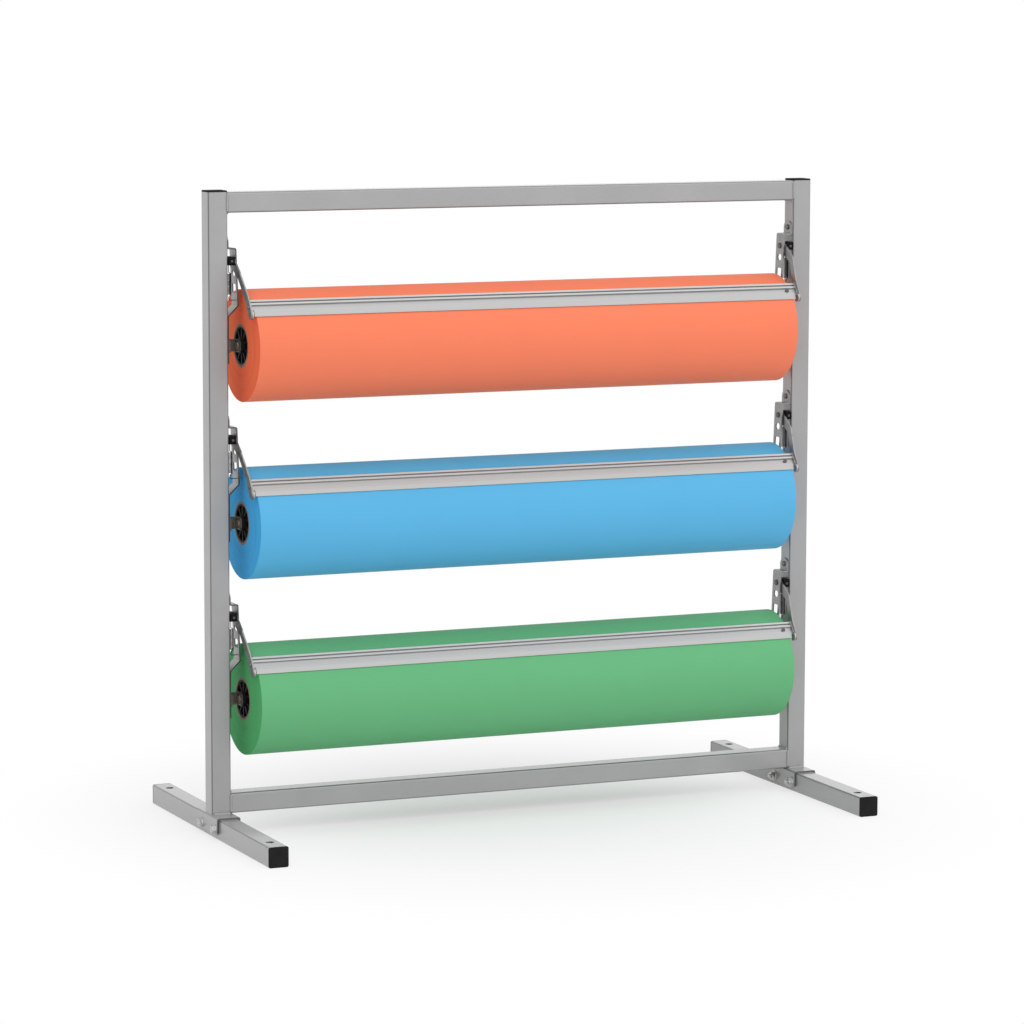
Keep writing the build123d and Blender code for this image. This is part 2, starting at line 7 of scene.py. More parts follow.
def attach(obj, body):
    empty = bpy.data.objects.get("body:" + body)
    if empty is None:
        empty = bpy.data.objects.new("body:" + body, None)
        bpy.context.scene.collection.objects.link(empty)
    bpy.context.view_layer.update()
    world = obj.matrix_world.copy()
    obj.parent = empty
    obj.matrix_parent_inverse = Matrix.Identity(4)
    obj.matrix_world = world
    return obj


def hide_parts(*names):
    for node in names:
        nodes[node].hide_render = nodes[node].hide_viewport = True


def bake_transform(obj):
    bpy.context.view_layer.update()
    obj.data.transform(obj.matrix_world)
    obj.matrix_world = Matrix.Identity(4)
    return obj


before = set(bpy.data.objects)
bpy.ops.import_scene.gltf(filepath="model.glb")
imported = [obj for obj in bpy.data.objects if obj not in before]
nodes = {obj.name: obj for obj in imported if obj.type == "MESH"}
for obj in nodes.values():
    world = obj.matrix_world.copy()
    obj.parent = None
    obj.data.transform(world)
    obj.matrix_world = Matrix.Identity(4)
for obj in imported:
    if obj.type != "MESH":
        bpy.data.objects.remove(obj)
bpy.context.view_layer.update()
scene = bpy.context.scene
scene.view_settings.view_transform = "Standard"
print("frame loaded:", len(nodes), "nodes")

# in metres: heights of the roll axes, inner faces and middles of the uprights, pivots over the axes
decks = {"lower": 0.2100, "middle": 0.4846, "upper": 0.7592}
innerFace = 0.4826
uprightX = 0.498475
pivotRise = 0.131
sides = {"left": -1, "right": 1}
squareOn = 0.9  # least part of a face's normal along the axis it faces


def deselectAll():
    active = bpy.context.view_layer.objects.active
    if active and active.mode != "OBJECT":
        bpy.ops.object.mode_set(mode="OBJECT")
    bpy.ops.object.select_all(action="DESELECT")


def pick(*pieces):
    deselectAll()
    for piece in pieces:
        piece.select_set(True)
    bpy.context.view_layer.objects.active = pieces[0]


def named(name):
    piece = bpy.context.view_layer.objects.active
    piece.name = name
    piece.data.name = name
    return piece


def settle(piece):  # place, turn and size go into the mesh
    pick(piece)
    bpy.ops.object.transform_apply(location=True, rotation=True, scale=True)
    return piece


def useModifier(piece, kind, **values):
    pick(piece)
    modifier = piece.modifiers.new(kind.lower(), kind)
    for key, value in values.items():
        setattr(modifier, key, value)
    bpy.ops.object.modifier_apply(modifier=modifier.name)


def editFaces(piece, test):  # edit mode with only the faces that pass the test selected
    pick(piece)
    bpy.ops.object.mode_set(mode="EDIT")
    bpy.ops.mesh.select_mode(type="FACE")
    bpy.ops.mesh.select_all(action="DESELECT")
    mesh = bmesh.from_edit_mesh(piece.data)
    for face in mesh.faces:
        face.select_set(test(face))
    bmesh.update_edit_mesh(piece.data)


def facesUp(face):
    return face.normal.z > squareOn


def facesDown(face):
    return face.normal.z < -squareOn


def smooth(piece, angle=30):
    pick(piece)
    bpy.ops.object.shade_smooth_by_angle(angle=math.radians(angle))


def joined(pieces, name):
    pick(*pieces)
    if len(pieces) > 1:
        bpy.ops.object.join()
    return named(name)


def addCylinder(name, sides, radius, depth, place=(0, 0, 0), turn=(0, 0, 0)):
    deselectAll()
    bpy.ops.mesh.primitive_cylinder_add(
        vertices=sides, radius=radius, depth=depth, location=place, rotation=turn,
    )
    return named(name)


def roundRim(piece, test, offset, segments, profile=0.5):  # round off the outline of the faces that pass
    editFaces(piece, test)
    bpy.ops.mesh.region_to_loop()
    bpy.ops.mesh.bevel(offset=offset, segments=segments, profile=profile)
    bpy.ops.object.mode_set(mode="OBJECT")


def copied(master):
    pick(master)
    bpy.ops.object.duplicate()
    return bpy.context.view_layer.objects.active


def copyTo(master, place, along):  # the master stands on its own +Z
    piece = copied(master)
    piece.location = place
    piece.rotation_mode = "QUATERNION"
    piece.rotation_quaternion = Vector((0, 0, 1)).rotation_difference(Vector(along))
    return settle(piece)


def discard(piece):
    bpy.data.objects.remove(piece, do_unlink=True)


# shader helpers
def addNode(tree, kind, inputs=None, **settings):
    node = tree.nodes.new(kind)
    for key, value in settings.items():
        setattr(node, key, value)
    for key, value in (inputs or {}).items():
        node.inputs[key].default_value = value
    return node


def join(tree, source, target):
    tree.links.new(source, target)


def newGroup(name, inputs, outputs):
    group = bpy.data.node_groups.new(name, "ShaderNodeTree")
    group.interface.new_socket("Vector", in_out="INPUT", socket_type="NodeSocketVector")
    for key, value in inputs.items():
        socket = group.interface.new_socket(key, in_out="INPUT", socket_type="NodeSocketFloat")
        socket.default_value = value
    for key in outputs:
        group.interface.new_socket(key, in_out="OUTPUT", socket_type="NodeSocketFloat")
    return group, group.nodes.new("NodeGroupInput"), group.nodes.new("NodeGroupOutput")


def spread(tree, value, low, high):  # a mask stretched to a range
    node = addNode(tree, "ShaderNodeMapRange", {"To Min": low, "To Max": high})
    join(tree, value, node.inputs["Value"])
    return node.outputs["Result"]


def mottleGroup():  # cloudy patches with a finer speckle over them
    contrast = (-0.5, 1.5)
    group, start, end = newGroup("mottle", {"Scale": 20.0, "Fine": 600.0}, ("Cloud", "Speck"))
    cloud = addNode(group, "ShaderNodeTexNoise", {"Detail": 4.0, "Roughness": 0.55})
    speck = addNode(group, "ShaderNodeTexNoise", {"Detail": 2.0, "Roughness": 0.6})
    for node, scale in ((cloud, "Scale"), (speck, "Fine")):
        join(group, start.outputs["Vector"], node.inputs["Vector"])
        join(group, start.outputs[scale], node.inputs["Scale"])
    join(group, spread(group, cloud.outputs["Fac"], *contrast), end.inputs["Cloud"])
    join(group, speck.outputs["Fac"], end.inputs["Speck"])
    return group


def brushGroup():  # fine lines along X
    group, start, end = newGroup("brushed lines", {"Along": 3.0, "Across": 900.0}, ("Lines",))
    stretch = addNode(group, "ShaderNodeCombineXYZ")
    join(group, start.outputs["Along"], stretch.inputs["X"])
    join(group, start.outputs["Across"], stretch.inputs["Y"])
    join(group, start.outputs["Across"], stretch.inputs["Z"])
    scaled = addNode(group, "ShaderNodeVectorMath", operation="MULTIPLY")
    join(group, start.outputs["Vector"], scaled.inputs[0])
    join(group, stretch.outputs["Vector"], scaled.inputs[1])
    lines = addNode(group, "ShaderNodeTexNoise", {"Scale": 1.0, "Detail": 3.0, "Roughness": 0.7})
    join(group, scaled.outputs["Vector"], lines.inputs["Vector"])
    join(group, lines.outputs["Fac"], end.inputs["Lines"])
    return group


def spangleGroup():  # the crystal patches of a zinc coat
    group, start, end = newGroup("zinc spangle", {"Scale": 160.0}, ("Patch", "Grain"))
    warp = addNode(group, "ShaderNodeTexNoise", {"Scale": 90.0, "Detail": 2.0})
    join(group, start.outputs["Vector"], warp.inputs["Vector"])
    shift = addNode(group, "ShaderNodeVectorMath", {"Scale": 0.004}, operation="SCALE")
    join(group, warp.outputs["Color"], shift.inputs[0])
    moved = addNode(group, "ShaderNodeVectorMath", operation="ADD")
    join(group, start.outputs["Vector"], moved.inputs[0])
    join(group, shift.outputs["Vector"], moved.inputs[1])
    cells = addNode(group, "ShaderNodeTexVoronoi")
    join(group, moved.outputs["Vector"], cells.inputs["Vector"])
    join(group, start.outputs["Scale"], cells.inputs["Scale"])
    tint = addNode(group, "ShaderNodeSeparateColor")
    join(group, cells.outputs["Color"], tint.inputs["Color"])
    join(group, tint.outputs["Red"], end.inputs["Patch"])
    grain = addNode(group, "ShaderNodeTexNoise", {"Scale": 1500.0, "Detail": 2.0})
    join(group, start.outputs["Vector"], grain.inputs["Vector"])
    join(group, grain.outputs["Fac"], end.inputs["Grain"])
    return group


def windingGroup():  # rings about the X axis, as wound layers show at an end
    group, start, end = newGroup("wound rings", {"Lines": 1200.0, "Bands": 90.0}, ("Ring", "Band"))
    parts = addNode(group, "ShaderNodeSeparateXYZ")
    join(group, start.outputs["Vector"], parts.inputs["Vector"])
    flat = addNode(group, "ShaderNodeCombineXYZ")
    join(group, parts.outputs["Y"], flat.inputs["Y"])
    join(group, parts.outputs["Z"], flat.inputs["Z"])
    radius = addNode(group, "ShaderNodeVectorMath", operation="LENGTH")
    join(group, flat.outputs["Vector"], radius.inputs[0])
    for scale, target, detail in (("Lines", "Ring", 1.0), ("Bands", "Band", 2.0)):
        rings = addNode(group, "ShaderNodeTexNoise", {"Detail": detail}, noise_dimensions="1D")
        join(group, radius.outputs["Value"], rings.inputs["W"])
        join(group, start.outputs[scale], rings.inputs["Scale"])
        join(group, rings.outputs["Fac"], end.inputs[target])
    return group


# takes a normal: 1 on rounded corners and 0 on flats, and a mask of the faces to front and back
def cornerGroup():
    group, start, end = newGroup("corner lines", {"Narrow": 0.80, "Wide": 0.97}, ("Corner", "CutEdge"))
    size = addNode(group, "ShaderNodeVectorMath", operation="ABSOLUTE")
    join(group, start.outputs["Vector"], size.inputs[0])
    parts = addNode(group, "ShaderNodeSeparateXYZ")
    join(group, size.outputs["Vector"], parts.inputs["Vector"])
    first = addNode(group, "ShaderNodeMath", operation="MAXIMUM")
    join(group, parts.outputs["X"], first.inputs[0])
    join(group, parts.outputs["Y"], first.inputs[1])
    most = addNode(group, "ShaderNodeMath", operation="MAXIMUM")
    join(group, first.outputs["Value"], most.inputs[0])
    join(group, parts.outputs["Z"], most.inputs[1])
    corner = addNode(group, "ShaderNodeMapRange", {"To Min": 1.0, "To Max": 0.0})
    join(group, most.outputs["Value"], corner.inputs["Value"])
    join(group, start.outputs["Narrow"], corner.inputs["From Min"])
    join(group, start.outputs["Wide"], corner.inputs["From Max"])
    join(group, corner.outputs["Result"], end.inputs["Corner"])
    cut = addNode(group, "ShaderNodeMapRange", {"From Min": 0.85, "From Max": 0.95})
    join(group, parts.outputs["Y"], cut.inputs["Value"])
    join(group, cut.outputs["Result"], end.inputs["CutEdge"])
    return group


groups = {
    "mottle": mottleGroup(),
    "brush": brushGroup(),
    "spangle": spangleGroup(),
    "winding": windingGroup(),
    "corner": cornerGroup(),
}
print("shader groups:", ", ".join(sorted(groups)))


def newMaterial(name, center=None):
    material = bpy.data.materials.new(name)
    material.use_nodes = True
    tree = material.node_tree
    shader = tree.nodes["Principled BSDF"]
    place = addNode(tree, "ShaderNodeTexCoord").outputs["Object"]
    if center:
        mapping = addNode(tree, "ShaderNodeMapping", {"Location": center})
        join(tree, place, mapping.inputs["Vector"])
        place = mapping.outputs["Vector"]
    return material, tree, shader, place


def useGroup(tree, name, place, **inputs):
    node = tree.nodes.new("ShaderNodeGroup")
    node.node_tree = groups[name]
    join(tree, place, node.inputs["Vector"])
    for key, value in inputs.items():
        node.inputs[key].default_value = value
    return node


def twoTone(tree, mask, dark, light):
    mix = addNode(tree, "ShaderNodeMix", data_type="RGBA")
    mix.inputs["A"].default_value = (*dark, 1)
    mix.inputs["B"].default_value = (*light, 1)
    join(tree, mask, mix.inputs["Factor"])
    return mix.outputs["Result"]


def layered(tree, under, mask, strength, color):  # a colour laid over another by a mask
    weight = spread(tree, mask, 0.0, strength)
    mix = addNode(tree, "ShaderNodeMix", data_type="RGBA")
    mix.inputs["B"].default_value = (*color, 1)
    join(tree, weight, mix.inputs["Factor"])
    join(tree, under, mix.inputs["A"])
    return mix.outputs["Result"]


def bumped(tree, shader, height, strength, depth):
    bump = addNode(tree, "ShaderNodeBump", {"Strength": strength, "Distance": depth})
    join(tree, height, bump.inputs["Height"])
    join(tree, bump.outputs["Normal"], shader.inputs["Normal"])


# satin silver-grey powder coat with a light orange peel; its rounded corners are drawn darker as painted
# shade
def silverPaint(name, cutEdge=0.0, corner=0.85):
    look = {
        "dark": (0.31, 0.31, 0.31),
        "light": (0.35, 0.35, 0.35),
        "corner": (0.08, 0.08, 0.08),
        "cut": (0.035, 0.035, 0.035),
        "rough": (0.34, 0.44),
        "metal": 0.12,
        "coat": 0.9,
        "coatRough": 0.14,
        "peel": (0.18, 0.0004),
    }
    material, tree, shader, place = newMaterial(name)
    shader.inputs["Coat Weight"].default_value = look["coat"]
    shader.inputs["Coat Roughness"].default_value = look["coatRough"]
    coat = useGroup(tree, "mottle", place, Scale=9.0, Fine=520.0)
    facing = addNode(tree, "ShaderNodeNewGeometry").outputs["Normal"]
    lines = useGroup(tree, "corner", facing)
    color = twoTone(tree, coat.outputs["Cloud"], look["dark"], look["light"])
    # rounded corners darkened by their normal: painted shade
    color = layered(tree, color, lines.outputs["Corner"], corner, look["corner"])
    if cutEdge:
        color = layered(tree, color, lines.outputs["CutEdge"], cutEdge, look["cut"])
    join(tree, color, shader.inputs["Base Color"])
    join(tree, spread(tree, coat.outputs["Speck"], *look["rough"]), shader.inputs["Roughness"])
    shader.inputs["Metallic"].default_value = look["metal"]
    bumped(tree, shader, coat.outputs["Speck"], *look["peel"])
    return material


def zincSteel(name, dark, light, rough, metal=0.85, scale=150.0, cutEdge=0.0):
    look = {"cut": (0.03, 0.03, 0.03), "grain": (0.12, 0.0002)}
    material, tree, shader, place = newMaterial(name)
    coat = useGroup(tree, "spangle", place, Scale=scale)
    color = twoTone(tree, coat.outputs["Patch"], dark, light)
    if cutEdge:  # faces to front and back drawn darker; the left brackets' stronger darkening is painted shade
        facing = addNode(tree, "ShaderNodeNewGeometry").outputs["Normal"]
        lines = useGroup(tree, "corner", facing)
        color = layered(tree, color, lines.outputs["CutEdge"], cutEdge, look["cut"])
    join(tree, color, shader.inputs["Base Color"])
    join(tree, spread(tree, coat.outputs["Patch"], *rough), shader.inputs["Roughness"])
    shader.inputs["Metallic"].default_value = metal
    bumped(tree, shader, coat.outputs["Grain"], *look["grain"])
    return material


def brushedMetal(name, dark, light, rough, across, metal):
    look = {"lines": (0.15, 0.0002)}
    material, tree, shader, place = newMaterial(name)
    brushed = useGroup(tree, "brush", place, Across=across)
    join(tree, twoTone(tree, brushed.outputs["Lines"], dark, light), shader.inputs["Base Color"])
    join(tree, spread(tree, brushed.outputs["Lines"], *rough), shader.inputs["Roughness"])
    shader.inputs["Metallic"].default_value = metal
    bumped(tree, shader, brushed.outputs["Lines"], *look["lines"])
    return material


def barMetal(name, axis):  # brushed strip, its grooves drawn darker as painted shade and its ridges lighter as painted highlight
    look = {
        "shadedGroove": (0.30, 0.30, 0.30),
        "shadedGrooveLight": (0.38, 0.38, 0.38),
        "ridgeHighlight": (0.40, 0.397, 0.395),
        "rough": (0.30, 0.44),
        "low": 0.0885,
        "high": 0.0907,
        "across": 700.0,
        "metal": 0.6,
        "lines": (0.15, 0.0002),
    }
    material, tree, shader, place = newMaterial(name, (0, 0, -axis))
    brushed = useGroup(tree, "brush", place, Across=look["across"])
    turn = math.radians(barShape["angle"])
    height = addNode(tree, "ShaderNodeVectorMath", operation="DOT_PRODUCT")
    height.inputs[1].default_value = (0, -math.sin(turn), math.cos(turn))
    join(tree, place, height.inputs[0])
    ridgeHighlight = addNode(tree, "ShaderNodeMapRange", {"From Min": look["low"], "From Max": look["high"]})
    join(tree, height.outputs["Value"], ridgeHighlight.inputs["Value"])
    # grooves painted darker and ridges lighter by height over the bar's face: painted shade and painted
    # highlight
    color = twoTone(tree, brushed.outputs["Lines"], look["shadedGroove"], look["shadedGrooveLight"])
    color = layered(tree, color, ridgeHighlight.outputs["Result"], 1.0, look["ridgeHighlight"])
    join(tree, color, shader.inputs["Base Color"])
    join(tree, spread(tree, brushed.outputs["Lines"], *look["rough"]), shader.inputs["Roughness"])
    shader.inputs["Metallic"].default_value = look["metal"]
    bumped(tree, shader, brushed.outputs["Lines"], *look["lines"])
    return material


def blackPlastic(name, dark, light, rough, fine, shine=0.16):
    look = {"cloud": 40.0, "grain": (0.2, 0.0003)}
    material, tree, shader, place = newMaterial(name)
    shader.inputs["Specular IOR Level"].default_value = shine
    grain = useGroup(tree, "mottle", place, Scale=look["cloud"], Fine=fine)
    join(tree, twoTone(tree, grain.outputs["Cloud"], dark, light), shader.inputs["Base Color"])
    join(tree, spread(tree, grain.outputs["Cloud"], *rough), shader.inputs["Roughness"])
    bumped(tree, shader, grain.outputs["Speck"], *look["grain"])
    return material


def wrapPaper(name, color, axis):
    look = {
        "shade": 0.955,
        "tint": 1.02,
        "rough": (0.56, 0.68),
        "speck": 0.6,
        "shine": 0.2,
        "fibre": (0.1, 0.0003),
    }
    material, tree, shader, place = newMaterial(name, (0, 0, -axis))
    fibre = useGroup(tree, "mottle", place, Scale=14.0, Fine=420.0)
    both = addNode(tree, "ShaderNodeMix", {"Factor": look["speck"]}, data_type="FLOAT")
    join(tree, fibre.outputs["Cloud"], both.inputs["A"])
    join(tree, fibre.outputs["Speck"], both.inputs["B"])
    dark = tuple(part * look["shade"] for part in color)
    light = tuple(min(1.0, part * look["tint"]) for part in color)
    join(tree, twoTone(tree, both.outputs["Result"], dark, light), shader.inputs["Base Color"])
    join(tree, spread(tree, fibre.outputs["Speck"], *look["rough"]), shader.inputs["Roughness"])
    shader.inputs["Specular IOR Level"].default_value = look["shine"]
    bumped(tree, shader, fibre.outputs["Speck"], *look["fibre"])
    return material


def paperEdge(name, color, axis):  # the cut layers at a roll's end
    look = {
        "shade": 1.02,
        "tint": 1.34,
        "deepen": 1.3,
        "rough": (0.8, 0.9),
        "band": 0.45,
        "shine": 0.2,
        "layers": (0.25, 0.0003),
    }
    material, tree, shader, place = newMaterial(name, (0, 0, -axis))
    color = tuple(part ** look["deepen"] for part in color)
    wound = useGroup(tree, "winding", place, Lines=2400.0, Bands=120.0)
    both = addNode(tree, "ShaderNodeMix", {"Factor": look["band"]}, data_type="FLOAT")
    join(tree, wound.outputs["Ring"], both.inputs["A"])
    join(tree, wound.outputs["Band"], both.inputs["B"])
    dark = tuple(part * look["shade"] for part in color)
    light = tuple(min(1.0, part * look["tint"]) for part in color)
    join(tree, twoTone(tree, both.outputs["Result"], dark, light), shader.inputs["Base Color"])
    join(tree, spread(tree, wound.outputs["Ring"], *look["rough"]), shader.inputs["Roughness"])
    shader.inputs["Specular IOR Level"].default_value = look["shine"]
    bumped(tree, shader, wound.outputs["Ring"], *look["layers"])
    return material


def cardboard(axis):
    look = {
        "dark": (0.20, 0.142, 0.098),
        "light": (0.31, 0.235, 0.17),
        "rough": (0.75, 0.95),
        "cloud": 0.5,
        "fibre": (0.3, 0.0003),
    }
    material, tree, shader, place = newMaterial("core board", (0, 0, -axis))
    ply = useGroup(tree, "winding", place, Lines=1500.0, Bands=400.0)
    fibre = useGroup(tree, "mottle", place, Scale=60.0, Fine=900.0)
    both = addNode(tree, "ShaderNodeMix", {"Factor": look["cloud"]}, data_type="FLOAT")
    join(tree, ply.outputs["Ring"], both.inputs["A"])
    join(tree, fibre.outputs["Cloud"], both.inputs["B"])
    color = twoTone(tree, both.outputs["Result"], look["dark"], look["light"])
    join(tree, color, shader.inputs["Base Color"])
    join(tree, spread(tree, fibre.outputs["Speck"], *look["rough"]), shader.inputs["Roughness"])
    bumped(tree, shader, fibre.outputs["Speck"], *look["fibre"])
    return material


# the tear bar's section, used by its finish and its screws
barShape = {"radius": 0.0870, "angle": 50.0, "half": 0.465, "bladeInset": 0.005, "face": 0.0027}

paperColors = {"upper": (0.93, 0.225, 0.115), "middle": (0.105, 0.455, 0.76), "lower": (0.135, 0.455, 0.205)}
finishes = {
    "paint": silverPaint("silver paint"),
    "saddlePaint": silverPaint("silver paint on folded plate", cutEdge=0.85),
    "weldPaint": silverPaint("silver paint on welds", corner=0.25),
    "cap": blackPlastic(
        "black cap", (0.015, 0.015, 0.015), (0.024, 0.024, 0.024), (0.7, 0.82), 700.0, shine=0.035,
    ),
    "block": blackPlastic(
        "moulded block", (0.003, 0.003, 0.003), (0.008, 0.008, 0.008), (0.5, 0.65), 900.0, shine=0.08,
    ),
    "plug": blackPlastic("moulded plug", (0.005, 0.005, 0.005), (0.013, 0.012, 0.011), (0.45, 0.6), 800.0),
    "zinc": zincSteel("bright zinc", (0.40, 0.40, 0.39), (0.56, 0.56, 0.545), (0.24, 0.38), 0.9, 420.0),
    "screw": zincSteel("dull screw", (0.13, 0.13, 0.128), (0.21, 0.21, 0.205), (0.3, 0.42), 0.8, 420.0),
    "darkSteel": zincSteel("dark rivet", (0.07, 0.068, 0.066), (0.12, 0.115, 0.11), (0.34, 0.46), 0.7, 420.0),
    # the right brackets' strip is a darker copy of the left brackets': painted shade; the left brackets'
    # front and back edges are darkened more: painted shade too
    "leftBracket": zincSteel(
        "galvanised strip", (0.31, 0.31, 0.305), (0.42, 0.42, 0.41), (0.34, 0.5), cutEdge=0.85,
    ),
    "rightBracket": zincSteel(
        "shaded strip", (0.25, 0.25, 0.245), (0.36, 0.36, 0.35), (0.34, 0.5), cutEdge=0.3,
    ),
    "arm": zincSteel("galvanised arm", (0.19, 0.19, 0.188), (0.27, 0.27, 0.265), (0.34, 0.48)),
    # roll holder strap drawn dark brownish grey: painted shade of the upright, with a brownish painted
    # reflection of the paper
    "holder": zincSteel("shade-darkened strap", (0.105, 0.094, 0.084), (0.165, 0.15, 0.135), (0.42, 0.56), 0.5),
    # stub axles in a brownish steel
    "axle": zincSteel("brownish axle", (0.30, 0.24, 0.185), (0.43, 0.35, 0.275), (0.35, 0.5), 0.6, 420.0),
    "spring": zincSteel(
        "oiled spring wire", (0.012, 0.012, 0.012), (0.035, 0.035, 0.034), (0.4, 0.52), 0.7, 600.0,
    ),
    "blade": brushedMetal(
        "bright blade", (0.33, 0.33, 0.328), (0.41, 0.41, 0.407), (0.34, 0.46), across=1100.0, metal=0.5,
    ),
}
print("finishes:", ", ".join(sorted(finishes)))


def wear(piece, *materials):
    piece.data.materials.clear()
    for material in materials:
        piece.data.materials.append(material)


# a finish for each ending of a node's name, zinc for the rest
nodeFinishes = {
    "upright": "paint",
    "top_bar": "paint",
    "bottom_bar": "paint",
    "foot": "paint",
    "saddle": "saddlePaint",
    "caps": "cap",
    "pivot_blocks": "block",
    "core_plugs": "plug",
    "left_bracket": "leftBracket",
    "right_bracket": "rightBracket",
    "arm": "arm",
    "roll_holder": "holder",
    "tear_blade": "blade",
    "pivot_pins": "darkSteel",
    "stub_axles": "axle",
}
for name in nodes:
    fitting = [finish for ending, finish in nodeFinishes.items() if name.endswith(ending)]
    wear(nodes[name], finishes[fitting[0] if fitting else "zinc"])
for deck, axis in decks.items():
    wear(nodes[deck + "_core_tube"], cardboard(axis))
    wear(nodes[deck + "_cutter_bar"], barMetal(deck + " bar strip", axis))
print("nodes dressed")


# paper rolls: wound ends in shallow steps, soft rim, open bore
rollShape = {
    "radius": 0.0866,
    "half": 0.4572,
    "bore": 0.0336,
    "rim": 0.0006,
    "sides": 192,
    "bands": (0.0060, 0.0090, 0.0040, 0.0110, 0.0070, 0.0084),
    "steps": (-0.0003, 0.0002, -0.00025, 0.00035, -0.0003, 0.0001),
    "stepWidth": 0.0005,
    "endSlope": 0.5,  # faces turned further to the end than this show cut layers
}


def makeRoll(deck, axis):
    shape = rollShape
    roll = addCylinder(
        deck + "PaperRoll", shape["sides"], shape["radius"], 2 * shape["half"],
        place=(0, 0, axis), turn=(0, math.pi / 2, 0),
    )
    roundRim(roll, lambda face: abs(face.normal.z) > squareOn, shape["rim"], segments=3)
    editFaces(roll, lambda face: len(face.verts) == shape["sides"])
    left = shape["radius"] - shape["rim"] - shape["bore"]
    for band, step in zip(shape["bands"], shape["steps"]):
        bpy.ops.mesh.inset(thickness=band, depth=0, use_individual=True)
        bpy.ops.mesh.inset(thickness=shape["stepWidth"], depth=step, use_individual=True)
        left -= band + shape["stepWidth"]
    bpy.ops.mesh.inset(thickness=left, depth=0, use_individual=True)
    bpy.ops.mesh.delete(type="FACE")
    bpy.ops.mesh.select_mode(type="EDGE")
    bpy.ops.mesh.select_non_manifold()
    bpy.ops.mesh.bridge_edge_loops()
    bpy.ops.mesh.select_all(action="SELECT")
    bpy.ops.mesh.normals_make_consistent(inside=False)
    settle(roll)
    paper = wrapPaper(deck + " paper", paperColors[deck], axis)
    ends = paperEdge(deck + " paper edge", paperColors[deck], axis)
    wear(roll, paper, ends)
    for face in roll.data.polygons:
        face.material_index = 1 if abs(face.normal.x) > shape["endSlope"] else 0
    smooth(roll)
    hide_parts(deck + "_paper_roll")
    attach(roll, deck + "_roll")


for deck, axis in decks.items():
    makeRoll(deck, axis)
print("paper rolls wound")


# tension springs: a bent end at the bracket's plate, the coil, a straight end at the block
springShape = {
    "wire": 0.0006,
    "coil": 0.0039,
    "turns": 18,
    "pitch": 0.0018,
    "depth": 0.0054,
    "front": 0.003,
    "plate": 0.01555,
    "block": 0.00625,
    "leg": 0.00925,
    "run": 0.004,
    "straight": 0.002,
    "bend": 0.0025,
    "perTurn": 24,
    "bendSteps": 8,
    "lead": 0.6,  # half turns from the middle out to the coil
    "still": 0.0225,  # a depth below the pivot
    "wireRound": 3,
}


def springLine(side, pivotZ):
    shape = springShape
    axis = Vector((side * (innerFace - shape["depth"]), -shape["front"], 0))
    top = pivotZ - shape["block"]
    coilTop = top - shape["leg"] - shape["run"]
    coilLow = coilTop - shape["turns"] * shape["pitch"]
    bendTop = coilLow - shape["run"] - shape["straight"]
    inwards = Vector((-side, 0, 0))
    up = Vector((0, 0, 1))
    points = [Vector((side * (innerFace - shape["plate"]), -shape["front"], bendTop - shape["bend"]))]
    corner = axis + inwards * shape["bend"] + up * bendTop  # middle of the bend
    for step in range(shape["bendSteps"] + 1):
        turn = step / shape["bendSteps"] * math.pi / 2
        points.append(corner - inwards * shape["bend"] * math.sin(turn) - up * shape["bend"] * math.cos(turn))
    quarter = shape["perTurn"] // 4
    for step in range(1, 2 * quarter):  # out from the middle to the coil
        share = step / (2 * quarter)
        reach = shape["coil"] * share * share * (3 - 2 * share)
        turn = (share - 1) * math.pi * shape["lead"]
        height = coilLow - shape["run"] * (1 - share) ** 1.5 - shape["straight"] * (1 - share) ** 3
        points.append(axis + Vector((reach * math.cos(turn), reach * math.sin(turn), height)))
    for step in range(shape["turns"] * shape["perTurn"] + 1):
        turn = step / shape["perTurn"] * 2 * math.pi
        height = coilLow + step / shape["perTurn"] * shape["pitch"]
        points.append(axis + Vector((shape["coil"] * math.cos(turn), shape["coil"] * math.sin(turn), height)))
    for step in range(1, 2 * quarter + 1):  # back in to the middle
        share = step / (2 * quarter)
        reach = shape["coil"] * (1 - share * share * (3 - 2 * share))
        turn = share * math.pi * shape["lead"]
        height = coilTop + shape["run"] * share ** 1.5
        points.append(axis + Vector((reach * math.cos(turn), reach * math.sin(turn), height)))
    points.append(axis + up * (coilTop + shape["run"] + shape["leg"] / 2))
    points.append(axis + up * top)
    return points


def makeSpring(deck, sideName, pivotZ):
    points = springLine(sides[sideName], pivotZ)
    curve = bpy.data.curves.new("springLine", "CURVE")
    curve.dimensions = "3D"
    curve.bevel_depth = springShape["wire"]
    curve.bevel_resolution = springShape["wireRound"]
    curve.use_fill_caps = True
    line = curve.splines.new("POLY")
    line.points.add(len(points) - 1)
    for point, place in zip(line.points, points):
        point.co = (*place, 1)
    spring = bpy.data.objects.new("springLine", curve)
    scene.collection.objects.link(spring)
    pick(spring)
    bpy.ops.object.convert(target="MESH")
    spring = named(deck + sideName.capitalize() + "Spring")
    wear(spring, finishes["spring"])
    smooth(spring, angle=60)
    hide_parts(deck + "_" + sideName + "_spring")
    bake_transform(spring)


for deck, axis in decks.items():
    for sideName in sides:
        makeSpring(deck, sideName, axis + pivotRise)
print("springs wound")


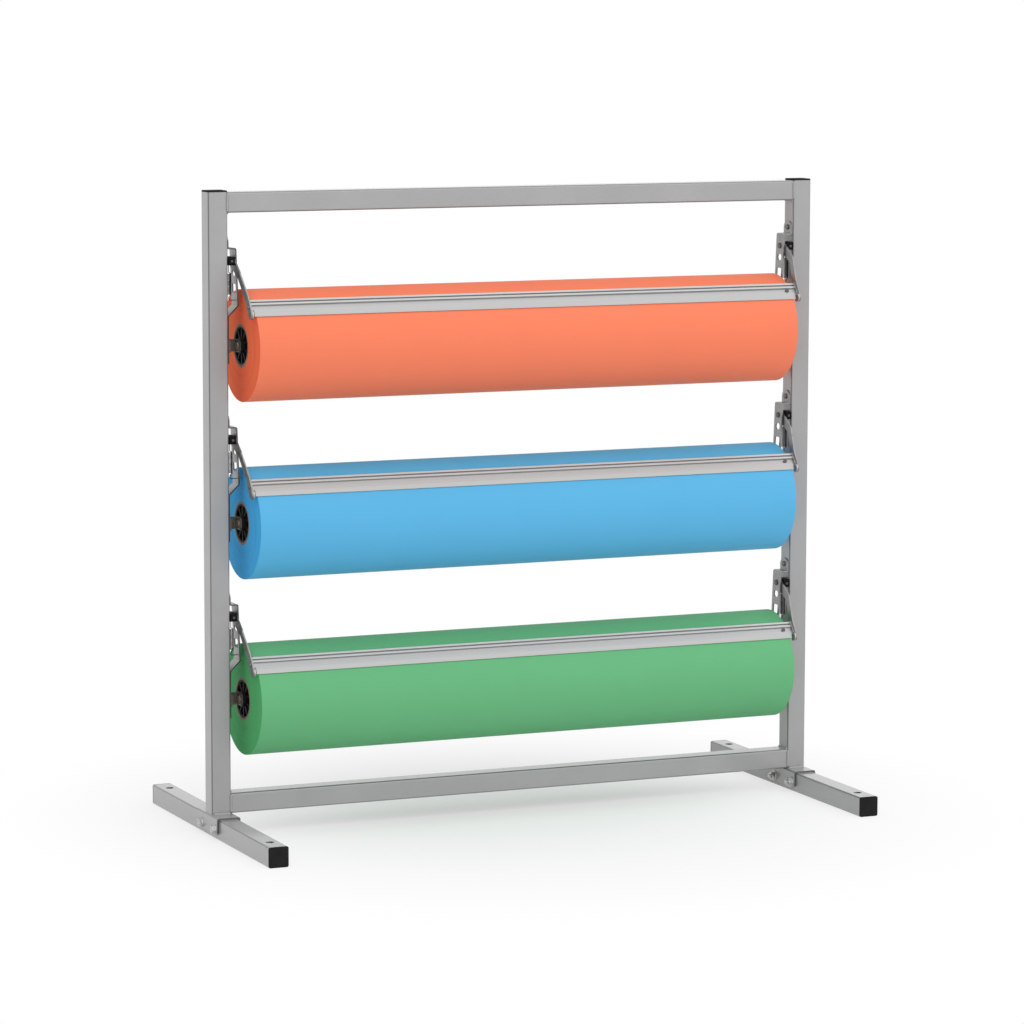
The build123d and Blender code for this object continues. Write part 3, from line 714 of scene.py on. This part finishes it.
# pan-head screws with a cross recess, which goes by the size of the head
panShape = {
    "sides": 32,
    "shankSides": 20,
    "recessLength": 1.1,
    "recessWidth": 0.26,
    "recessDepth": 1.1,
    "recessTaper": 0.45,
    "tip": 0.3,
}
screwShapes = {
    "bracket": {
        "head": 0.0042, "height": 0.0026, "round": 0.0012, "shank": 0.0025, "length": 0.010,
        "finish": "screw",
    },
    "arm": {
        "head": 0.0035, "height": 0.0022, "round": 0.0010, "shank": 0.0020, "length": 0.0040,
        "finish": "screw",
    },
    "clamp": {
        "head": 0.0030, "height": 0.0014, "round": 0.0006, "shank": 0.0015, "length": 0.0025,
        "finish": "darkSteel",
    },
    "block": {
        "head": 0.0020, "height": 0.0012, "round": 0.0006, "shank": 0.0012, "length": 0.0080,
        "finish": "darkSteel",
    },
}
# where they sit: y, height over the roll axis and depth in from the upright for the brackets,
# reach and lift on the bar's section for the arms and the clamp
screwSpots = {
    "bracket": ((0, 0.161, 0.002), (-0.002, 0.0052, 0.0045), (-0.002, -0.0052, 0.0045)),
    "armReach": 0.008,
    "armLift": 0.0025,
    "armDepth": 0.0154,
    "clampReach": 0.0068,
    "clampInset": 0.012,
    "blockFront": -0.018,
    "blockDepth": 0.0054,
}


def makePanScrew(shape):
    pan = panShape
    head = addCylinder("panHead", pan["sides"], shape["head"], shape["height"], (0, 0, shape["height"] / 2))
    roundRim(head, facesUp, shape["round"], segments=5, profile=0.6)
    settle(head)
    for turn in (0, math.pi / 2):
        deselectAll()
        bpy.ops.mesh.primitive_cube_add(size=1, location=(0, 0, shape["height"]), rotation=(0, 0, turn))
        slot = named("recess")
        slot.scale = (
            shape["head"] * pan["recessLength"], shape["head"] * pan["recessWidth"],
            shape["height"] * pan["recessDepth"],
        )
        settle(slot)
        editFaces(slot, facesDown)
        taper = (pan["recessTaper"], pan["recessTaper"], 1)
        bpy.ops.transform.resize(value=taper, center_override=(0, 0, shape["height"]))
        bpy.ops.object.mode_set(mode="OBJECT")
        useModifier(head, "BOOLEAN", operation="DIFFERENCE", object=slot, solver="EXACT")
        discard(slot)
    shank = addCylinder(
        "shank", pan["shankSides"], shape["shank"], shape["length"], (0, 0, -shape["length"] / 2),
    )
    roundRim(shank, facesDown, shape["shank"] * pan["tip"], segments=1)
    settle(shank)
    screw = joined([head, shank], "panScrew")
    wear(screw, finishes[shape["finish"]])
    return screw


def barPlace(reach, lift):  # a point of the bar's section, up along the bar and out from the paper
    turn = math.radians(barShape["angle"])
    along = Vector((math.cos(turn), math.sin(turn)))
    out = Vector((-math.sin(turn), math.cos(turn)))
    return out * barShape["radius"] + along * reach + out * lift


def bracketScrewPlaces():
    places = []
    for axis in decks.values():
        for side in sides.values():
            for y, z, depth in screwSpots["bracket"]:
                places.append(((side * (innerFace - depth), y, axis + z), (-side, 0, 0)))
    return places


def cutterScrewPlaces(axis):
    spots = screwSpots
    turn = math.radians(barShape["angle"])
    arm = barPlace(spots["armReach"], spots["armLift"])
    armX = innerFace - spots["armDepth"]
    blockX = innerFace - spots["blockDepth"]
    clamp = barPlace(spots["clampReach"], barShape["face"])
    clampX = barShape["half"] - barShape["bladeInset"] - spots["clampInset"]
    places = {"arm": [], "block": []}
    places["clamp"] = [((clampX, clamp.x, axis + clamp.y), (0, -math.sin(turn), math.cos(turn)))]
    for side in sides.values():
        places["arm"].append(((side * armX, arm.x, axis + arm.y), (side, 0, 0)))
        places["block"].append(((side * blockX, spots["blockFront"], axis + pivotRise), (0, -1, 0)))
    return places


def setFasteners(copies, name, node, body):
    fasteners = joined(copies, name)
    smooth(fasteners, angle=35)
    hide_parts(node)
    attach(fasteners, body)


screwMasters = {kind: makePanScrew(shape) for kind, shape in screwShapes.items()}
copies = [copyTo(screwMasters["bracket"], *place) for place in bracketScrewPlaces()]
setFasteners(copies, "bracketScrews", "bracket_screws", "frame")
for deck, axis in decks.items():
    copies = []
    for kind, places in cutterScrewPlaces(axis).items():
        copies += [copyTo(screwMasters[kind], *place) for place in places]
    setFasteners(copies, deck + "CutterScrews", deck + "_cutter_screws", deck + "_cutter")
for master in screwMasters.values():
    discard(master)
print("screws set")


# hex bolts and flange nuts at the saddles
boltShape = {
    "flats": 0.013,
    "head": 0.0053,
    "nut": 0.0065,
    "nutFlange": 0.0085,
    "nutFlangeHeight": 0.0015,
    "boltFlange": 0.0078,
    "boltFlangeHeight": 0.0012,
    "radius": 0.0040,
    "pitch": 0.00125,
    "tooth": 0.0007,
    "grip": 0.03815,
    "tail": 0.004,
    "threadInGrip": 0.006,
    "chamfer": 0.0011,
    "flangeRound": 0.45,  # of the flange's height
    "coreOverlap": 0.0001,
    "holeGap": 0.00005,
    "mergeGap": 0.00001,
    "sides": 24,
    "face": 0.019075,
    "front": -0.0345,
    "back": 0.0250,
    "height": 0.015875,
}


def makeHex(height, name):  # a hexagon whose corners are rounded off at the top
    radius = boltShape["flats"] / math.sqrt(3)
    hexagon = settle(addCylinder(name, 6, radius, height, (0, 0, height / 2)))
    cutter = settle(addCylinder("hexCutter", 48, radius, 2 * height))
    roundRim(cutter, facesUp, boltShape["chamfer"], segments=1)
    useModifier(hexagon, "BOOLEAN", operation="INTERSECT", object=cutter, solver="EXACT")
    discard(cutter)
    return hexagon


def makeThread(length, name):  # a helix of V teeth, standing downwards from the origin
    shape = boltShape
    turns = int(length / shape["pitch"])
    low = shape["radius"] - shape["tooth"]
    mesh = bpy.data.meshes.new(name)
    rows = [(low, 0, 0), (shape["radius"], 0, -shape["pitch"] / 2), (low, 0, -shape["pitch"])]
    mesh.from_pydata(rows, [(0, 1), (1, 2)], [])
    thread = bpy.data.objects.new(name, mesh)
    scene.collection.objects.link(thread)
    useModifier(
        thread, "SCREW", axis="Z", screw_offset=-shape["pitch"], iterations=turns,
        steps=shape["sides"], render_steps=shape["sides"],
        use_merge_vertices=True, merge_threshold=shape["mergeGap"],
    )
    full = (turns + 1) * shape["pitch"]
    core = addCylinder("threadCore", shape["sides"], low + shape["coreOverlap"], full, (0, 0, -full / 2))
    return joined([settle(core), thread], name)


def makeFlange(radius, height, name):
    flange = settle(addCylinder(name, 40, radius, height, (0, 0, height / 2)))
    roundRim(flange, facesUp, height * boltShape["flangeRound"], segments=2)
    return flange


def makeBolt():
    shape = boltShape
    head = makeHex(shape["head"], "boltHead")
    flange = makeFlange(shape["boltFlange"], shape["boltFlangeHeight"], "boltFlange")
    plain = shape["grip"] - shape["threadInGrip"]
    shank = settle(addCylinder("boltShank", shape["sides"], shape["radius"], plain, (0, 0, -plain / 2)))
    cut = shape["threadInGrip"] + shape["nut"] + shape["tail"] - shape["pitch"]
    thread = makeThread(cut, "boltThread")
    thread.location = (0, 0, -plain)
    settle(thread)
    bolt = joined([head, flange, shank, thread], "hexBolt")
    wear(bolt, finishes["zinc"])
    return bolt


def makeNut():
    shape = boltShape
    nut = makeHex(shape["nut"], "flangeNut")
    flange = makeFlange(shape["nutFlange"], shape["nutFlangeHeight"], "nutFlange")
    hole = settle(addCylinder("nutHole", 32, shape["radius"] + shape["holeGap"], 4 * shape["nut"]))
    for piece in (nut, flange):
        useModifier(piece, "BOOLEAN", operation="DIFFERENCE", object=hole, solver="EXACT")
    discard(hole)
    nut = joined([nut, flange], "flangeNut")
    wear(nut, finishes["zinc"])
    return nut


def setSaddleFasteners():
    shape = boltShape
    boltPlaces = []
    nutPlaces = []
    for side in sides.values():
        for y in (shape["front"], shape["back"]):
            boltPlaces.append(((side * (uprightX + shape["face"]), y, shape["height"]), (side, 0, 0)))
            nutPlaces.append(((side * (uprightX - shape["face"]), y, shape["height"]), (-side, 0, 0)))
    for master, places, name, node in (
        (makeBolt(), boltPlaces, "saddleBolts", "saddle_bolts"),
        (makeNut(), nutPlaces, "saddleNuts", "saddle_nuts"),
    ):
        setFasteners([copyTo(master, *place) for place in places], name, node, "frame")
        discard(master)


setSaddleFasteners()
print("bolts and nuts set")


# weld beads in the corners of the frame, a row of overlapping ripples each
weldShape = {
    "bar": {"radius": 0.0033, "pitch": 0.0022, "half": 0.0125},
    "seam": {"radius": 0.0025, "pitch": 0.0017, "half": 0.0122},
    "base": {"radius": 0.0036, "pitch": 0.0026, "half": 0.0120},
    "squash": 0.75,
    "sink": 0.0006,
    "topBar": 0.979725,
    "bottomBar": 0.050625,
    "tubeHalf": 0.015875,
    "saddleTop": 0.03475,
}


def makeBead(shape, name):  # along X, its middle at the origin
    deselectAll()
    bpy.ops.mesh.primitive_uv_sphere_add(segments=14, ring_count=8, radius=shape["radius"])
    bead = named(name)
    bead.scale = (weldShape["squash"], 1, 1)
    settle(bead)
    count = int(2 * shape["half"] / shape["pitch"]) + 1
    useModifier(
        bead, "ARRAY", count=count, use_relative_offset=False, use_constant_offset=True,
        constant_offset_displace=(shape["pitch"], 0, 0),
    )
    bead.location = (-(count - 1) * shape["pitch"] / 2, 0, 0)
    return settle(bead)


def layBead(master, place, turn):
    bead = copied(master)
    bead.rotation_euler = turn
    bead.location = place
    return settle(bead)


def setWelds():
    shape = weldShape
    masters = {kind: makeBead(shape[kind], kind + "Bead") for kind in ("bar", "seam", "base")}
    across = (0, 0, math.pi / 2)
    upwards = (0, math.pi / 2, 0)
    half = shape["tubeHalf"]
    sink = shape["sink"]
    beads = []
    for side in sides.values():
        x = side * (innerFace + sink)
        beads.append(layBead(masters["bar"], (x, 0, shape["topBar"] - half + sink), across))
        beads.append(layBead(masters["bar"], (x, 0, shape["bottomBar"] + half - sink), across))
        for y in (-half + sink, half - sink):
            for z in (shape["topBar"], shape["bottomBar"]):
                beads.append(layBead(masters["seam"], (x, y, z), upwards))
        for y in (-half - sink, half + sink):
            beads.append(layBead(masters["base"], (side * uprightX, y, shape["saddleTop"]), (0, 0, 0)))
    for piece in masters.values():
        discard(piece)
    welds = joined(beads, "frameWelds")
    wear(welds, finishes["weldPaint"])
    smooth(welds, angle=50)
    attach(welds, "frame")


setWelds()
print("welds laid")


# floor, light and camera
def seenRays(tree):  # rays that show the background, straight, mirrored or through glass
    rays = addNode(tree, "ShaderNodeLightPath")
    first = addNode(tree, "ShaderNodeMath", operation="MAXIMUM")
    both = addNode(tree, "ShaderNodeMath", operation="MAXIMUM")
    join(tree, rays.outputs["Is Camera Ray"], first.inputs[0])
    join(tree, rays.outputs["Is Glossy Ray"], first.inputs[1])
    join(tree, first.outputs["Value"], both.inputs[0])
    join(tree, rays.outputs["Is Transmission Ray"], both.inputs[1])
    return both.outputs["Value"]


def makeFloor():
    look = {
        "size": 60.0,
        "color": (0.90, 0.90, 0.90, 1),
        "rough": 0.9,
        "shine": 0.1,
        "near": 0.1,
        "far": 0.9,
        "lift": 0.36,
    }
    deselectAll()
    bpy.ops.mesh.primitive_plane_add(size=look["size"], location=(0, 0, 0))
    floor = named("floor")
    material = bpy.data.materials.new("studio floor")
    material.use_nodes = True
    tree = material.node_tree
    shader = tree.nodes["Principled BSDF"]
    shader.inputs["Base Color"].default_value = look["color"]
    shader.inputs["Roughness"].default_value = look["rough"]
    shader.inputs["Specular IOR Level"].default_value = look["shine"]
    place = addNode(tree, "ShaderNodeTexCoord").outputs["Object"]
    reach = addNode(tree, "ShaderNodeVectorMath", operation="LENGTH")
    join(tree, place, reach.inputs[0])
    fade = addNode(
        tree, "ShaderNodeMapRange",
        {"From Min": look["near"], "From Max": look["far"], "To Min": look["lift"]},
        interpolation_type="SMOOTHSTEP",
    )
    join(tree, reach.outputs["Value"], fade.inputs["Value"])
    seen = addNode(tree, "ShaderNodeMath", operation="MULTIPLY")
    join(tree, seenRays(tree), seen.inputs[0])
    join(tree, fade.outputs["Result"], seen.inputs[1])
    white = addNode(tree, "ShaderNodeEmission", {"Strength": 1.0})
    mix = addNode(tree, "ShaderNodeMixShader")
    join(tree, seen.outputs["Value"], mix.inputs["Fac"])
    join(tree, shader.outputs["BSDF"], mix.inputs[1])
    join(tree, white.outputs["Emission"], mix.inputs[2])
    join(tree, mix.outputs["Shader"], tree.nodes["Material Output"].inputs["Surface"])
    wear(floor, material)


def makeWorld():
    look = {"ambient": 0.36}
    world = bpy.data.worlds.new("studio")
    world.use_nodes = True
    scene.world = world
    tree = world.node_tree
    soft = tree.nodes["Background"]
    soft.inputs["Color"].default_value = (1, 1, 1, 1)
    soft.inputs["Strength"].default_value = look["ambient"]
    white = addNode(tree, "ShaderNodeBackground", {"Color": (1, 1, 1, 1), "Strength": 1.0})
    mix = addNode(tree, "ShaderNodeMixShader")
    join(tree, seenRays(tree), mix.inputs["Fac"])
    join(tree, soft.outputs["Background"], mix.inputs[1])
    join(tree, white.outputs["Background"], mix.inputs[2])
    join(tree, mix.outputs["Shader"], tree.nodes["World Output"].inputs["Surface"])


def makeLamp():  # one very broad soft light, high in front and a little to the right
    look = {"strength": 2.3, "softness": 120.0, "elevation": 50.0, "bearing": 18.0}
    lamp = bpy.data.lights.new("softLight", "SUN")
    lamp.energy = look["strength"]
    lamp.angle = math.radians(look["softness"])
    light = bpy.data.objects.new("softLight", lamp)
    scene.collection.objects.link(light)
    spin = Matrix.Rotation(math.radians(look["bearing"]), 4, "Z")
    light.matrix_world = spin @ Matrix.Rotation(math.radians(90 - look["elevation"]), 4, "X")


def makeCamera():
    look = {
        "eye": (-2.6889, -6.1729, 1.3497),
        "turn": -23.514,
        "tilt": -7.363,
        "roll": 0.139,
        "lens": 150.757,
        "sensor": 36.0,
        "reach": 200.0,
    }
    data = bpy.data.cameras.new("camera")
    data.lens = look["lens"]
    data.sensor_width = look["sensor"]
    data.clip_end = look["reach"]
    camera = bpy.data.objects.new("camera", data)
    scene.collection.objects.link(camera)
    spin = Matrix.Rotation(math.radians(look["turn"]), 4, "Z")
    tilt = Matrix.Rotation(math.radians(90 + look["tilt"]), 4, "X")
    roll = Matrix.Rotation(math.radians(look["roll"]), 4, "Z")
    camera.matrix_world = Matrix.Translation(look["eye"]) @ spin @ tilt @ roll
    scene.camera = camera


makeFloor()
makeWorld()
makeLamp()
makeCamera()
print("floor, light and camera set")
